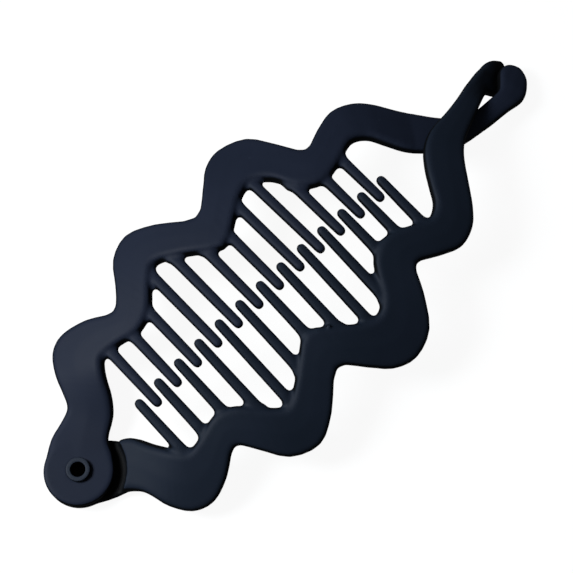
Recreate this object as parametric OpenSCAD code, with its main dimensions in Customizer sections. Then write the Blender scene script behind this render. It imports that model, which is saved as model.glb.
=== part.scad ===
// Banana hair clip: two wavy toothed halves that turn on a hollow hinge pin.
// X runs from the hinge axis to the closing end, Y across, Z up. The table is at Z = 0.

/* [Shell] */
// Radius of the lengthwise arch
arch_r = 170; // [160:5:180]
// Radius of the crosswise dome
dome_r = 75; // [70:1:90]
// Distance of the arch's top from the hinge axis
arch_x = 70; // [69:0.5:71]
// Height of the arch's top above the table
crown_z = 20.2; // [20:0.1:20.6]
// Thickness of the wavy band
band_t = 3.2; // [2.8:0.1:3.4]
// Rounding of the band's upper edges
edge_r = 1.3; // [0.8:0.1:1.4]

/* [Teeth] */
// Tooth pitch along the arch, for one half
tooth_pitch = 6.3; // [6.2:0.05:6.4]
// Number of teeth in the lower half
tooth_count = 13; // [8:1:13]
// Width of a tooth near its tip
tooth_w = 2.2; // [1.8:0.1:2.4]
// Thickness of a tooth
tooth_t = 2.1; // [1.6:0.1:2.2]
// Depth of a tooth's upper side below the band's face
tooth_drop = 0.9; // [0.6:0.1:1.0]
// How far the upper half's teeth reach past the middle
upper_reach = 2.9; // [1:0.1:3.4]
// How far the lower half's teeth reach past the middle
lower_reach = 2.2; // [1:0.1:3.4]

/* [Hinge] */
// Radius of the hinge disc and of the lug below it
disc_r = 7.9; // [7.5:0.1:8.1]
// Thickness of the hinge disc
disc_t = 2.4; // [2.2:0.1:2.5]
// Thickness of the lug below the disc
lug_t = 2.3; // [2.1:0.1:2.4]
// Gap between the disc and the lug
lug_gap = 0.3; // [0.2:0.05:0.3]
// Radius of the pin's shaft
pin_r = 2.2; // [2:0.1:2.4]
// Radius of the hollow in the pin
pin_hollow_r = 1.8; // [1.5:0.1:1.8]
// Radius of the pin's collar above the disc
pin_collar_r = 2.8; // [2.7:0.1:3]
// How far the pin stands proud of the disc
pin_proud = 1.2; // [0.8:0.1:1.6]

/* [Hidden] */
$fn = 96;

// Levels at the hinge
disc_z = lug_t + lug_gap;
disc_top = disc_z + disc_t;
// Radius at which the lower half's face stops short of the disc
step_r = 10.9;
// Running fit of the disc on the pin, and the pin's collar's gap above the disc
pin_fit = 0.08;
collar_gap = 0.1;
// Depth of the floor left under the pin's hollow
pin_floor = 0.8;
// Chamfer-like rounding on the disc's rim
disc_edge = 0.6;
// The web next to the disc lies this much lower than the disc's face
web_sink = 0.15;
// Radii between which the shell climbs from the disc to the arch
climb_r0 = 7.5;
climb_r1 = 24;
// The dome flattens out over this length towards the closing end, so that the hook lies flat
flat_x = 136;
flat_run = 20;
// Rounding of the band's lower edges
under_r = 0.7;
// Largest share of the width or thickness that one rounding takes
round_share = 0.42;
// Slight crown of the band's face, and its largest share of the width
face_crown = 0.15;
crown_share = 0.02;
// Spline steps between two rows of a table
steps = 3;
// Arc length, from the arch's top, of the lower half's first tooth
first_tooth = -51.05;
// Length of a tooth that is sunk in the band, and of its flared root
tooth_sunk = 2.4;
root_len = 2.2;
// Added to the tooth's width at its root and where the root's fillet ends
root_flare = 1.4;
tooth_taper = 0.3;
tooth_sides = 12;
// Below 1, the tooth's section goes from round towards square
tooth_square = 0.7;
// Extra length of a cut past a face, and the depth it skims off the lug
margin = 1;
skim = 0.02;

// Root of each half at the hinge, seen from its own side: the web beside the disc or lug.
// [outer x, outer y, inner x, inner y]
upper_root = [
    [-4.3, 6.6, 5.6, -5.4],
    [0.1, 9.7, 7.9, -2.6],
    [4.4, 11.1, 9.3, 0.9],
    [7.1, 12.4, 13.1, 3.6],
    [8.4, 15.6, 15.5, 6.8]
];
lower_root = [
    [-4.3, 6.4, 5.6, -5.4],
    [0.2, 8.8, 7.9, -2.6],
    [4.3, 10.2, 9.9, 0.2],
    [6.8, 13.0, 12.9, 2.3],
    [7.8, 15.6, 14.9, 6.9]
];
// Band edges of one half, and by how much the upper half's waves lie further from the hinge
// than the lower half's. [outer x, outer y, inner x, inner y, stagger]
edges = [
    [9.5, 20.1, 17.2, 11.1, 0.8],
    [12.6, 24.7, 19.0, 13.9, 0.5],
    [17.2, 26.4, 20.8, 15.0, 0.1],
    [23.0, 24.6, 24.8, 14.4, 0.7],
    [28.7, 21.1, 29.9, 13.2, 0.7],
    [32.4, 24.9, 34.7, 15.2, 1.4],
    [36.8, 31.1, 39.5, 20.3, 1.3],
    [43.3, 33.6, 43.5, 22.9, 0.4],
    [49.6, 30.4, 49.7, 19.0, 0.3],
    [57.1, 24.2, 56.8, 13.9, 0.5],
    [62.9, 28.6, 63.6, 17.8, 1.2],
    [67.3, 32.6, 67.8, 20.7, 1.1],
    [72.8, 34.2, 72.2, 21.9, 0.6],
    [79.4, 31.6, 76.1, 19.0, 0.8],
    [83.5, 24.8, 79.4, 12.7, 0.1],
    [86.8, 18.9, 84.4, 9.8, 0.4],
    [92.7, 20.9, 90.6, 11.1, 0.3],
    [98.4, 22.6, 96.2, 13.3, 0.6],
    [103.7, 21.0, 100.1, 11.6, 1.0],
    [107.3, 17.6, 102.5, 7.8, 1.3],
    [110.3, 13.3, 104.9, 3.8, 1.3]
];
// Share of the stagger that the inner edge takes
inner_share = 0.5;
// The closing arms from the crossing on, each as seen from its own half. The upper one ends in
// a round knob. The lower one ends in a hook: its near edge is a lip that passes under the knob,
// and its far edge stands up beside the knob.
upper_arm = [
    [114.2, 9.3, 108.3, 0.8],
    [117.9, 5.1, 113.2, -2.5],
    [122.2, 1.9, 118.7, -3.9],
    [126.5, 0.9, 125.1, -4.2],
    [130.6, 0.7, 130.9, -4.4],
    [133.6, 0.8, 133.9, -4.5],
    [135.7, 1.2, 136.2, -4.7],
    [137.8, 3.0, 138.5, -4.6],
    [140.0, 4.8, 140.6, -3.8],
    [142.0, 5.1, 142.4, -2.4],
    [143.3, 4.4, 143.6, -1.0],
    [144.1, 3.1, 144.3, 1.0]
];
lower_arm = [
    [113.6, 7.7, 107.9, -0.1],
    [117.2, 4.4, 112.5, -2.7],
    [121.7, 2.2, 119.0, -3.9],
    [125.7, 0.4, 124.7, -5.2],
    [129.6, -1.2, 129.2, -6.5],
    [133.3, -2.3, 133.1, -7.1],
    [135.7, -0.9, 135.5, -7.7],
    [137.2, -1.5, 137.1, -8.1],
    [138.9, -3.3, 138.8, -8.4],
    [141.2, -4.5, 141.3, -8.2],
    [143.0, -5.4, 143.1, -6.8]
];
upper_rows = concat(upper_root, staggered(0.5), upper_arm);
lower_rows = concat(lower_root, staggered(-0.5), lower_arm);

// Depth below the shell's surface and thickness, [x at mid-band, depth, thickness]
upper_levels = [
    [0, web_sink, disc_t - 2 * web_sink], [8, 0, disc_t], [14, 0, band_t], [100, 0, band_t],
    [104, 0.6, 3.0], [110, 2.7, 2.6], [115, 3.0, 2.6], [121, 3.1, 2.6], [124.5, 3.0, 2.6],
    [128, 2.8, 2.6], [131, 1.9, 2.6], [135, 0.8, 2.7], [138.9, 0.1, 3.2], [141.5, -0.2, 3.0],
    [144, -0.5, 2.4]
];
lower_levels = [
    [0.6, disc_top - lug_t + web_sink, lug_t - 2 * web_sink],
    [4.1, disc_top - lug_t + web_sink, lug_t - 2 * web_sink],
    [6.5, 0, disc_top - web_sink], [11, 0, disc_top - web_sink], [15, 0, 4.2], [20, 0, 3.4],
    [24, 0, band_t], [100, 0, band_t], [104, -0.2, 3.0], [110, -0.6, 2.8], [115, -0.6, 2.7],
    [120, -0.5, 2.6], [124, -0.2, 2.4], [127, 0, 2.3], [128.5, 0.3, 2.2], [131, 1.5, 2.3],
    [133.2, 2.9, 2.3], [135.6, 4.6, 2.2], [137.5, 4.7, 2], [139.5, 4.05, 1.85], [141.5, 3.2, 1.7],
    [143, 2.5, 1.4]
];
// How much higher the hook's far edge lies than its edge under the knob, [x, rise]
upper_lift = [[0, 0], [144, 0]];
lower_lift = [
    [122, 0], [128.5, 0.2], [131, 1.1], [133.2, 2.3], [135.6, 3.6], [137.5, 3.1], [139.5, 2.6], [141.5, 1.5],
    [143, 0.7]
];

function unit(v) = v / norm(v);
function smooth(t) = let (c = max(0, min(1, t))) c * c * (3 - 2 * c);
function column(rows, k) = [for (r = rows) [r[0], r[k]]];
function staggered(share) = [for (r = edges)
    [r[0] + share * r[4], r[1], r[2] + share * r[4] * inner_share, r[3]]];
// Flattens a circle's sine or cosine, for a section between round and square
function squared(c) = sign(c) * pow(abs(c), tooth_square);

// Height of the shell's face over a point in plan: arch, dome, and the climb from the hinge
function arch_z(x) = crown_z - arch_r + sqrt(arch_r * arch_r - (x - arch_x) * (x - arch_x));
function dome_z(x, y) =
    (sqrt(dome_r * dome_r - y * y) - dome_r) * smooth((flat_x - x) / flat_run);
function face_z(x, y) =
    let (climb = smooth((norm([x, y]) - climb_r0) / (climb_r1 - climb_r0)))
    disc_top + (arch_z(x) + dome_z(x, y) - disc_top) * climb;

// Smooth curve through the rows of a table
function spline(a, b, c, d, t) =
    b + (c - a) * t / 2 + (2 * a - 5 * b + 4 * c - d) * t * t / 2
      + (3 * b - a - 3 * c + d) * t * t * t / 2;
function refined(rows) =
    let (last = len(rows) - 1)
    [for (i = [0:last - 1], k = [0:steps - (i == last - 1 ? 0 : 1)])
        spline(rows[max(i - 1, 0)], rows[i], rows[i + 1], rows[min(i + 2, last)], k / steps)];

// Section of the band: w across, t thick, face at 0, from the inner edge over the face and back
function band_section(w, t) =
    let (most = round_share * min(w, t), r = min(edge_r, most), q = min(under_r, most))
    concat(
        [for (a = [180, 135, 90]) [r + r * cos(a), r * sin(a) - r]],
        [[w / 2, min(face_crown, crown_share * w)]],
        [for (a = [90, 45, 0]) [w - r + r * cos(a), r * sin(a) - r]],
        [[w, q - t], [w - q, -t], [q, -t], [0, q - t]]
    );

// Triangles of a tube through equal rings, closed by a fan at each end
function tube_faces(rings, n) = concat(
    [for (j = [0:rings - 2], k = [0:n - 1])
        [j * n + k, j * n + (k + 1) % n, (j + 1) * n + (k + 1) % n]],
    [for (j = [0:rings - 2], k = [0:n - 1])
        [j * n + k, (j + 1) * n + (k + 1) % n, (j + 1) * n + k]],
    [for (k = [1:n - 2]) [0, k + 1, k]],
    let (end = (rings - 1) * n) [for (k = [1:n - 2]) [end, end + k, end + k + 1]]
);
function flipped(faces) = [for (f = faces) [f[2], f[1], f[0]]];

module tube(rings, side) {
    n = len(rings[0]);
    faces = tube_faces(len(rings), n);
    polyhedron([for (ring = rings) each ring], side > 0 ? faces : flipped(faces));
}

// One half's band and closing arm. side is 1 for the upper half and -1 for the lower
module band(rows, levels, lift, side) {
    fine = refined(rows);
    drops = column(levels, 1);
    thicks = column(levels, 2);
    mids = [for (r = fine) (r[0] + r[2]) / 2];
    outer = [for (i = [0:len(fine) - 1]) let (r = fine[i])
        [r[0], side * r[1], face_z(r[0], r[1]) - lookup(mids[i], drops)]];
    inner = [for (i = [0:len(fine) - 1]) let (r = fine[i])
        [r[2], side * r[3],
         face_z(r[2], r[3]) - lookup(mids[i], drops) + lookup(mids[i], lift)]];
    last = len(fine) - 1;
    tube([for (i = [0:last])
        let (
            e = unit(outer[i] - inner[i]),
            d = outer[min(i + 1, last)] + inner[min(i + 1, last)]
                - outer[max(i - 1, 0)] - inner[max(i - 1, 0)],
            n = side * unit(cross(d, e)),
            w = norm(outer[i] - inner[i]),
            t = lookup(mids[i], thicks)
        )
        [for (p = band_section(w, t)) inner[i] + e * p[0] + n * p[1]]
    ], side);
}

// One tooth across the clip at x, from inside the band to a round tip past the middle
module tooth(x, root_y, reach, side) {
    tip_start = tooth_sunk + root_y + reach - tooth_w / 2;
    // [distance from the sunk end, width] over the fillet at the root and round the tip
    plan = concat(
        [[0, tooth_w + root_flare]],
        [for (a = [0, 30, 60, 90]) [tooth_sunk + root_len * (1 - cos(a)),
            tooth_w + tooth_taper + (root_flare - tooth_taper) * (1 - sin(a))]],
        [for (a = [0, 30, 55, 75]) [tip_start + tooth_w / 2 * sin(a), tooth_w * cos(a)]]
    );
    tube([for (s = plan)
        let (
            y = root_y + tooth_sunk - s[0],
            thick = min(tooth_t, s[1]),
            z = face_z(x, y) - tooth_drop - tooth_t / 2
        )
        [for (k = [0:tooth_sides - 1])
            let (a = 360 * (k + 0.5) / tooth_sides)
            [x - s[1] / 2 * squared(cos(a)), side * y, z + thick / 2 * squared(sin(a))]]
    ], side);
}

// All teeth of one half. shift is 0 for the lower half and 1 for the upper, half a pitch on
module teeth(count, shift, reach, side) {
    inner_edge = [for (r = edges) [r[2], r[3]]];
    for (k = [0:count - 1]) {
        arc = first_tooth + (k + shift / 2) * tooth_pitch;
        x = arch_x + arch_r * sin(arc / arch_r * 180 / PI);
        tooth(x, lookup(x, inner_edge), reach, side);
    }
}

// A round plate with rounded rims, standing on z = 0
module plate(r, t, edge) {
    rotate_extrude() union() {
        square([r - edge, t]);
        translate([0, edge]) square([r, t - 2 * edge]);
        translate([r - edge, edge]) circle(edge);
        translate([r - edge, t - edge]) circle(edge);
    }
}

module upper_comb() {
    color("#1b1f29") difference() {
        union() {
            band(upper_rows, upper_levels, upper_lift, 1);
            teeth(tooth_count - 1, 1, upper_reach, 1);
            translate([0, 0, disc_z]) plate(disc_r, disc_t, disc_edge);
        }
        translate([0, 0, -margin]) cylinder(r = pin_r + pin_fit, h = disc_top + 2 * margin);
    }
}

module lower_comb() {
    color("#1b1f29") difference() {
        union() {
            difference() {
                band(lower_rows, lower_levels, lower_lift, -1);
                translate([0, 0, lug_t - skim]) cylinder(r = step_r, h = crown_z);
            }
            teeth(tooth_count, 0, lower_reach, -1);
            plate(disc_r, lug_t, disc_edge);
        }
        translate([0, 0, -margin]) cylinder(r = pin_r, h = lug_t + 2 * margin);
    }
}

module hinge_pin() {
    top = disc_top + pin_proud;
    color("#20232b") difference() {
        union() {
            cylinder(r = pin_r, h = top);
            translate([0, 0, disc_top + collar_gap])
                cylinder(r = pin_collar_r, h = pin_proud - collar_gap);
        }
        translate([0, 0, pin_floor]) cylinder(r = pin_hollow_r, h = top);
    }
}

upper_comb();
lower_comb();
hinge_pin();
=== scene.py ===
# %% [markdown]
# A wavy banana hair clip: two toothed plastic halves that turn on a hollow pin.
# The engineering model is already packed as a fixed frame. This lesson gives it the look of
# the real thing: softly moulded edges, little fillets where the teeth leave the band, and a
# soft-touch black finish.
# We load the frame first, because every visible piece has to ride on one of its bodies.

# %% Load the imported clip
import math

import bpy
from mathutils import Matrix, Vector


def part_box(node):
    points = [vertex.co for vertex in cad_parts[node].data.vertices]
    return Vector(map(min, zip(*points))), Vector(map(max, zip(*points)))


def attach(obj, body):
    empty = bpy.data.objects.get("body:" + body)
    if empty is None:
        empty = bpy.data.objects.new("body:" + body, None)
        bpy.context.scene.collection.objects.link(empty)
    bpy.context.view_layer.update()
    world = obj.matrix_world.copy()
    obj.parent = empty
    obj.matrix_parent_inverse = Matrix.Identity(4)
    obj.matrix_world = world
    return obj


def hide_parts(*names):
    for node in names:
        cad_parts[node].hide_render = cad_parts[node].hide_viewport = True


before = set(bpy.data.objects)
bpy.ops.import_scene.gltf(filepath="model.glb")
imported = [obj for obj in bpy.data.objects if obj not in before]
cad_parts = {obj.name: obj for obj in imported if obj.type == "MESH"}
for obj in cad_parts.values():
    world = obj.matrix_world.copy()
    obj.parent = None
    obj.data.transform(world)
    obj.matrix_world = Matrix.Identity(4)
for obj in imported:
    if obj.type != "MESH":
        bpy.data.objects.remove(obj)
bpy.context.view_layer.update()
MM = 0.001


# %% [markdown]
# The photograph looks almost straight down on the clip, leaning about 12 degrees towards the
# hinge and 12 degrees towards the lower half, from a third of a metre away. The clip lies
# diagonally in the picture, so the camera is also turned about its own line of sight. A
# camera is easiest to place from three directions: where it looks from, what is to its right
# and what is above it. Those three are the columns of its matrix.

# %% Work out the camera's directions
LEAN_X = math.radians(11.87)
LEAN_Y = math.radians(12.24)
TURN = math.radians(-41.65)

back = Vector((-math.tan(LEAN_X), -math.tan(LEAN_Y), 1)).normalized()
along = (Vector((1, 0, 0)) - back * back.x).normalized()
across = back.cross(along)
right = math.cos(TURN) * along + math.sin(TURN) * across
above = back.cross(right)
print("the camera looks from", [round(c, 3) for c in back])


# %% [markdown]
# The lens and the distance belong together. A long lens from far away flattens the picture, and
# a short one near by makes the hinge end look large. This pair gives both ends of the clip the
# sizes that they have in the photograph.

# %% Place the camera
DISTANCE = 333.7 * MM
LOOK_AT = Vector((62.54, -1.34, 10)) * MM
LENS = 91.27
SENSOR_WIDTH = 36
NEAREST_SEEN = 10 * MM

bpy.ops.object.select_all(action="DESELECT")
camera_data = bpy.data.cameras.new("camera")
camera_data.lens = LENS
camera_data.sensor_width = SENSOR_WIDTH
camera_data.clip_start = NEAREST_SEEN
camera = bpy.data.objects.new("camera", camera_data)
bpy.context.scene.collection.objects.link(camera)
place = Matrix((right, above, back)).transposed().to_4x4()
place.translation = LOOK_AT + back * DISTANCE
camera.matrix_world = place
bpy.context.scene.camera = camera
print("camera at", [round(c / MM) for c in camera.location], "mm")


# %% [markdown]
# A dark, matte thing on white needs a bright table and soft lamps. The real picture is lit
# from its left and from rather near: the hinge end and the upper half look slate blue, and the
# clip falls to near black at the closing end and on the lower half, which leans away. A near
# lamp gives both falls by itself, because its light thins out with distance. A wider lamp far
# behind it, on the same side, softens the shade without lighting the far sides of the teeth.
# Both stay outside the camera's view. A faint sky fills the rest.

# %% Light the table
SKY_COLOUR = (0.9, 0.94, 1.0, 1)
SKY_STRENGTH = 0.09


def area_lamp(name, place_mm, size_mm, power, colour):
    data = bpy.data.lights.new(name, "AREA")
    data.shape = "DISK"
    data.size = size_mm * MM
    data.energy = power
    data.color = colour
    lamp = bpy.data.objects.new(name, data)
    bpy.context.scene.collection.objects.link(lamp)
    lamp.location = Vector(place_mm) * MM
    aim = LOOK_AT - lamp.location
    lamp.rotation_euler = aim.to_track_quat("-Z", "Y").to_euler()


area_lamp("key_lamp", place_mm=(-115, 160, 245), size_mm=130, power=1.15,
          colour=(0.88, 0.94, 1.0))
area_lamp("fill_lamp", place_mm=(-300, 460, 680), size_mm=400, power=1.8,
          colour=(0.97, 0.98, 1.0))

world = bpy.data.worlds.new("studio")
world.use_nodes = True
sky = world.node_tree.nodes["Background"]
sky.inputs["Color"].default_value = SKY_COLOUR
sky.inputs["Strength"].default_value = SKY_STRENGTH
bpy.context.scene.world = world
bpy.context.scene.view_settings.view_transform = "Standard"


# %% [markdown]
# Colours are written as the hex values a painter or a web page would use. Those are sRGB, and
# the shader wants linear light, so one function turns them. The darkest colour is a near black
# of painted shade, given to the walls and low places of the clip. A second function adds a
# shader node. Settings such as the kind of mix come first, because they decide which sockets
# there are, and then each socket gets a value or a link. With it a material reads as a short
# recipe.

# %% Helpers for materials
def linear(hex_colour):
    values = [int(hex_colour[i:i + 2], 16) / 255 for i in (1, 3, 5)]
    return [v / 12.92 if v <= 0.04045 else ((v + 0.055) / 1.055) ** 2.4 for v in values] + [1]


def add_node(tree, kind, sockets=None, **settings):
    made = tree.nodes.new(kind)
    for name, value in settings.items():
        setattr(made, name, value)
    for name, value in (sockets or {}).items():
        if isinstance(value, bpy.types.NodeSocket):
            tree.links.new(value, made.inputs[name])
        else:
            made.inputs[name].default_value = value
    return made


def new_material(name):
    material = bpy.data.materials.new(name)
    material.use_nodes = True
    return material, material.node_tree, material.node_tree.nodes["Principled BSDF"]


# This near black is painted shade for the walls and low places of the clip.
PAINTED_SHADE_BLACK = linear("#040507")
print("deep black is", [round(c, 4) for c in PAINTED_SHADE_BLACK])


# %% [markdown]
# The clip is moulded in ABS and sprayed with a soft-touch lacquer, a rubbery matte coat. It
# scatters light widely, so there is no sharp highlight, only a broad slate sheen. Close up the
# coat has a very fine grain from the spray, about 0.2 mm, and slow waves like orange peel,
# about 2 mm across. Both are at most a few hundredths of a millimetre deep, so bump is enough
# and the shape stays plain. The grain is drawn a little coarser than the real one, so that it
# can be seen at all.

# %% The relief of the lacquer
GRAIN_SIZE, GRAIN_DEPTH, GRAIN_STRENGTH = 0.28 * MM, 0.03 * MM, 0.18
PEEL_SIZE, PEEL_DEPTH, PEEL_STRENGTH = 2.0 * MM, 0.1 * MM, 0.05


def lacquer_relief(tree, place):
    peel = add_node(tree, "ShaderNodeTexNoise",
                    {"Vector": place, "Scale": 1 / PEEL_SIZE, "Detail": 1, "Roughness": 0.4})
    grain = add_node(tree, "ShaderNodeTexNoise",
                     {"Vector": place, "Scale": 1 / GRAIN_SIZE, "Detail": 2, "Roughness": 0.6})
    waves = add_node(tree, "ShaderNodeBump",
                     {"Height": peel.outputs["Fac"], "Strength": PEEL_STRENGTH,
                      "Distance": PEEL_DEPTH})
    bump = add_node(tree, "ShaderNodeBump",
                    {"Height": grain.outputs["Fac"], "Strength": GRAIN_STRENGTH,
                     "Distance": GRAIN_DEPTH, "Normal": waves.outputs["Normal"]})
    return bump.outputs["Normal"]


print("grain", GRAIN_SIZE / MM, "mm, waves", PEEL_SIZE / MM, "mm")


# %% [markdown]
# The slate is two near tones that blend in dull smudges, about 12 mm across, where fingers have
# rubbed the coat. Rims that have been handled are a touch paler still. The Pointiness output
# finds them: it is 0.5 on a flat face and more on a rim.

# %% The rubbed slate
SMUDGE_SIZE = 12 * MM
RIM_STARTS, RIM_FULL = 0.52, 0.62
RIM_WEAR = 0.25


def rubbed_slate(tree, smudge, dark, pale, worn):
    surface = add_node(tree, "ShaderNodeNewGeometry")
    rim = add_node(tree, "ShaderNodeMapRange",
                   {"Value": surface.outputs["Pointiness"], "From Min": RIM_STARTS,
                    "From Max": RIM_FULL, "To Min": 0, "To Max": RIM_WEAR})
    tone = add_node(tree, "ShaderNodeMix",
                    {"Factor": smudge, "A": linear(dark), "B": linear(pale)}, data_type="RGBA")
    edged = add_node(tree, "ShaderNodeMix",
                     {"Factor": rim.outputs["Result"], "A": tone.outputs["Result"],
                      "B": linear(worn)}, data_type="RGBA")
    return edged.outputs["Result"]


print("smudges", SMUDGE_SIZE / MM, "mm")


# %% [markdown]
# The walls of the band and the teeth are painted near black, as painted shade, while faces that
# look up keep the slate tone. The upward part of the surface's own normal tells the two apart:
# it is 1 on a level top and 0 on an upright wall. The low places, which are the lug beside the
# disc and the hook's lip under the knob, lie in deep shade, so the slate also fades to the
# painted shade black downwards.

# %% Painted shade on walls and low places
WALL_Z, FLAT_Z = 0.52, 0.8
RECESS_HEIGHT, OPEN_HEIGHT = 2.5 * MM, 4.3 * MM


# The result is 1 where the slate shows and 0 where walls and low places take the near black of
# painted shade.
def unshaded_share(tree, place, normal):
    facing = add_node(tree, "ShaderNodeSeparateXYZ", {"Vector": normal})
    unshaded_by_facing = add_node(tree, "ShaderNodeMapRange",
                     {"Value": facing.outputs["Z"], "From Min": WALL_Z, "From Max": FLAT_Z})
    height = add_node(tree, "ShaderNodeSeparateXYZ", {"Vector": place})
    unshaded_by_height = add_node(tree, "ShaderNodeMapRange",
                       {"Value": height.outputs["Z"], "From Min": RECESS_HEIGHT,
                        "From Max": OPEN_HEIGHT})
    both = add_node(tree, "ShaderNodeMath",
                    {0: unshaded_by_facing.outputs["Result"], 1: unshaded_by_height.outputs["Result"]},
                    operation="MULTIPLY")
    return both.outputs["Value"]


print("no bloom below", RECESS_HEIGHT / MM, "mm, all of it above", OPEN_HEIGHT / MM, "mm")


# %% [markdown]
# Now the recipe comes together. The upper half looks bluer than the lower one. Both halves are
# the same lacquer, so the lower half's slightly darker, less blue tones are painted shade, for
# the half that leans away from the lamps. The pin is bare ABS, which is smoother and a shade
# lighter than the lacquer. The smudges also change the roughness a little, as real ones do.
# Plastic has an IOR of about 1.5, and a rubbery coat shines much less than that alone gives, so
# the specular level is low.

# %% Mix the finishes
PLASTIC_IOR = 1.5
MATTE_SPECULAR = 0.1
ROUGHNESS_SWING = 0.04
SMUDGE_LOW, SMUDGE_HIGH = 0.3, 0.7


def rubbed_plastic(name, dark, pale, worn, roughness):
    material, tree, shader = new_material(name)
    coords = add_node(tree, "ShaderNodeTexCoord")
    place, normal = coords.outputs["Object"], coords.outputs["Normal"]
    smudge = add_node(tree, "ShaderNodeTexNoise",
                      {"Vector": place, "Scale": 1 / SMUDGE_SIZE, "Detail": 3,
                       "Roughness": 0.5}).outputs["Fac"]
    # The near black mixed in here is painted shade on walls and low places.
    slate_or_painted_shade = add_node(tree, "ShaderNodeMix",
                       {"Factor": unshaded_share(tree, place, normal), "A": PAINTED_SHADE_BLACK,
                        "B": rubbed_slate(tree, smudge, dark, pale, worn)}, data_type="RGBA")
    rough = add_node(tree, "ShaderNodeMapRange",
                     {"Value": smudge, "From Min": SMUDGE_LOW, "From Max": SMUDGE_HIGH,
                      "To Min": roughness - ROUGHNESS_SWING,
                      "To Max": roughness + ROUGHNESS_SWING})
    tree.links.new(slate_or_painted_shade.outputs["Result"], shader.inputs["Base Color"])
    tree.links.new(rough.outputs["Result"], shader.inputs["Roughness"])
    tree.links.new(lacquer_relief(tree, place), shader.inputs["Normal"])
    shader.inputs["IOR"].default_value = PLASTIC_IOR
    shader.inputs["Specular IOR Level"].default_value = MATTE_SPECULAR
    return material


upper_finish = rubbed_plastic("soft_touch_lacquer_upper",
                              dark="#171d2a", pale="#1d2332", worn="#272e3c", roughness=0.6)
# The lower half's tones are painted a little darker and less blue than the upper's, as painted
# shade.
lower_finish_painted_darker = rubbed_plastic("soft_touch_lacquer_lower",
                              dark="#141c26", pale="#1a212e", worn="#242c38", roughness=0.6)
pin_finish = rubbed_plastic("satin_abs_pin",
                            dark="#20262f", pale="#272d38", worn="#343b48", roughness=0.5)
print("materials", [m.name for m in bpy.data.materials])


# %% [markdown]
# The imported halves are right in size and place, so they are the start for the mouldings. A
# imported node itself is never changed: each half is copied, and its loose triangles are merged
# into one skin. An operator acts on all that is selected, so a helper leaves one object
# selected first.

# %% Copy the two packed halves
MERGE_WITHIN = 0.001 * MM


def select_only(obj):
    bpy.ops.object.select_all(action="DESELECT")
    obj.select_set(True)
    bpy.context.view_layer.objects.active = obj


def copy_of(node, name):
    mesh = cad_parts[node].data.copy()
    mesh.name = name
    mesh.materials.clear()
    piece = bpy.data.objects.new(name, mesh)
    bpy.context.scene.collection.objects.link(piece)
    select_only(piece)
    bpy.ops.object.mode_set(mode="EDIT")
    bpy.ops.mesh.select_all(action="SELECT")
    bpy.ops.mesh.remove_doubles(threshold=MERGE_WITHIN)
    bpy.ops.object.mode_set(mode="OBJECT")
    return piece


upper = copy_of("upper_comb", "upper_half_moulding")
lower = copy_of("lower_comb", "lower_half_moulding")
print("facets to start from", [len(piece.data.polygons) for piece in (upper, lower)])


# %% [markdown]
# The copies are made of flat facets with crisp corners, while a moulding has a small radius
# everywhere, because the steel mould was cut with a round tool. Beveling thousands of facets
# by hand would take days. Instead the skin is rebuilt on a fine grid of voxels. Growing it by
# half a millimetre, rebuilding it and shrinking it back fills only the inner corners, and that
# gives the fillets where the teeth leave the band. A little smoothing then melts the facets.
# It also wears a trace off the skin, so the skin is shrunk back that much less than it grew.

# %% Mould the two halves
VOXEL = 0.3 * MM
FILLET = 0.55 * MM
WORN_BY_SMOOTHING = 0.08 * MM


def use_modifier(obj, kind, **settings):
    modifier = obj.modifiers.new(kind.title(), kind)
    for name, value in settings.items():
        setattr(modifier, name, value)
    select_only(obj)
    bpy.ops.object.modifier_apply(modifier=modifier.name)


for piece in (upper, lower):
    use_modifier(piece, "REMESH", mode="VOXEL", voxel_size=VOXEL)
    for growth in (FILLET, WORN_BY_SMOOTHING - FILLET):
        use_modifier(piece, "DISPLACE", strength=growth, mid_level=0)
        use_modifier(piece, "REMESH", mode="VOXEL", voxel_size=VOXEL)
    use_modifier(piece, "SMOOTH", factor=0.5, iterations=3)
    select_only(piece)
    bpy.ops.object.shade_smooth()
    print(piece.name, len(piece.data.polygons), "faces")


# %% [markdown]
# Each moulding takes the place of its packed half: it hides the plain node, moves with the same
# body and wears its finish.

# %% Put the mouldings in their places
for piece, finish, node, body, slot in (
        (upper, upper_finish, "upper_comb", "upper_half", "upper_shell"),
        (lower, lower_finish_painted_darker, "lower_comb", "lower_half", "lower_shell")):
    piece.data.materials.append(finish)
    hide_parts(node)
    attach(piece, body)
    print(piece.name, "rides on", body)


# %% [markdown]
# The pin is a short hollow rivet. Its shank is pressed into the lower lug, its collar sits
# just above the disc, and its mouth is open. It starts as a cylinder the size of the shank. The
# top face is pulled out into the collar, then inset and pushed down to make the hollow.

# %% Draw the hollow pin
SHANK_R, COLLAR_R, HOLLOW_R = 2.2 * MM, 2.75 * MM, 1.65 * MM
COLLAR_HEIGHT = 1.1 * MM
FLOOR_THICKNESS = 0.8 * MM
SIDES = 96
LOOKS_UP = 0.9

low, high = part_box("hinge_pin")
shank_height = high.z - low.z - COLLAR_HEIGHT

bpy.ops.object.select_all(action="DESELECT")
bpy.ops.mesh.primitive_cylinder_add(vertices=SIDES, radius=SHANK_R, depth=shank_height,
                                    location=(0, 0, low.z + shank_height / 2))
pin = bpy.context.object
pin.name = "hollow_hinge_pin"
bpy.ops.object.transform_apply(location=True, rotation=True, scale=True)

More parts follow.
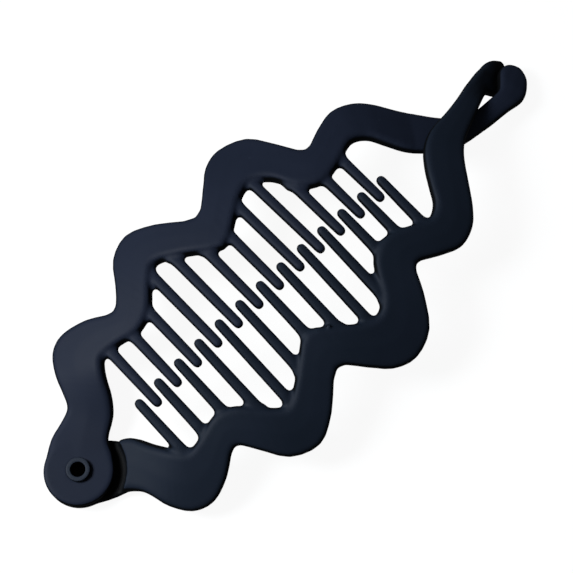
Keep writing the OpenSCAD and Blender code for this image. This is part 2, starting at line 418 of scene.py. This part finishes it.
bpy.ops.object.mode_set(mode="EDIT")
bpy.ops.mesh.select_mode(type="FACE")
bpy.ops.mesh.select_all(action="DESELECT")
bpy.ops.object.mode_set(mode="OBJECT")
for face in pin.data.polygons:
    face.select = face.normal.z > LOOKS_UP
bpy.ops.object.mode_set(mode="EDIT")
bpy.ops.mesh.extrude_region_move(TRANSFORM_OT_translate={"value": (0, 0, 0)})
bpy.ops.transform.resize(value=(COLLAR_R / SHANK_R, COLLAR_R / SHANK_R, 1))
bpy.ops.mesh.extrude_region_move(TRANSFORM_OT_translate={"value": (0, 0, COLLAR_HEIGHT)})
bpy.ops.mesh.inset(thickness=COLLAR_R - HOLLOW_R)
bpy.ops.mesh.extrude_region_move(
    TRANSFORM_OT_translate={"value": (0, 0, low.z + FLOOR_THICKNESS - high.z)})
bpy.ops.object.mode_set(mode="OBJECT")
print("pin", [round(v / MM, 2) for v in pin.dimensions], "mm")


# %% [markdown]
# A sharp rim would catch hair, so a bevel rounds every rim of the pin. The lamps are broad, and
# the round rim shows only as a thin, slightly lighter ring with the dark mouth inside.

# %% Round the rims and put the pin in its place
RIM_ROUNDING = 0.35 * MM
RIM_SEGMENTS = 5
SHARP = math.radians(40)

use_modifier(pin, "BEVEL", width=RIM_ROUNDING, segments=RIM_SEGMENTS, limit_method="ANGLE",
             angle_limit=SHARP)
select_only(pin)
bpy.ops.object.shade_smooth_by_angle(angle=SHARP)
pin.data.materials.append(pin_finish)
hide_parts("hinge_pin")
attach(pin, "lower_half")
print("pin", len(pin.data.polygons), "faces")


# %% [markdown]
# The clip lies on a plain sheet of white paper on a light table. The floor is no part of the
# clip. The sheet is 4 m wide, so that its edge stays far away when the clip is looked at from
# the side.

# %% Lay the paper
PAPER_SIZE = 4
PAPER_MIDDLE = (70 * MM, 0, 0)

bpy.ops.object.select_all(action="DESELECT")
bpy.ops.mesh.primitive_plane_add(size=PAPER_SIZE, location=PAPER_MIDDLE)
paper = bpy.context.object
paper.name = "white_paper"
bpy.ops.object.transform_apply(location=True, rotation=True, scale=True)
print("paper", [round(v, 2) for v in paper.dimensions], "m")


# %% [markdown]
# The paper glows by itself at almost full white, and its own grey takes only a little lamp
# light, so the shadows on it are faint, as in the real picture. It doesn't shine back on the
# clip, or else the black walls would look grey. A trace of mottling, about 6 mm across, keeps
# it from looking like a flat screen.

# %% Make the paper glow
MOTTLE_SIZE = 6 * MM
PAPER_GLOW = 0.93
PAPER_ROUGHNESS = 0.9

paper_finish, tree, shader = new_material("matte_white_paper")
fibre = add_node(tree, "ShaderNodeTexNoise",
                 {"Vector": add_node(tree, "ShaderNodeTexCoord").outputs["Object"],
                  "Scale": 1 / MOTTLE_SIZE, "Detail": 3})
shade = add_node(tree, "ShaderNodeMix",
                 {"Factor": fibre.outputs["Fac"], "A": linear("#5c5c5c"),
                  "B": linear("#646464")}, data_type="RGBA")
tree.links.new(shade.outputs["Result"], shader.inputs["Base Color"])
shader.inputs["Roughness"].default_value = PAPER_ROUGHNESS
shader.inputs["Specular IOR Level"].default_value = MATTE_SPECULAR
shader.inputs["Emission Color"].default_value = linear("#ffffff")
shader.inputs["Emission Strength"].default_value = PAPER_GLOW
paper.data.materials.append(paper_finish)
paper.visible_diffuse = False
paper.visible_glossy = False
print("paper glows at", PAPER_GLOW)
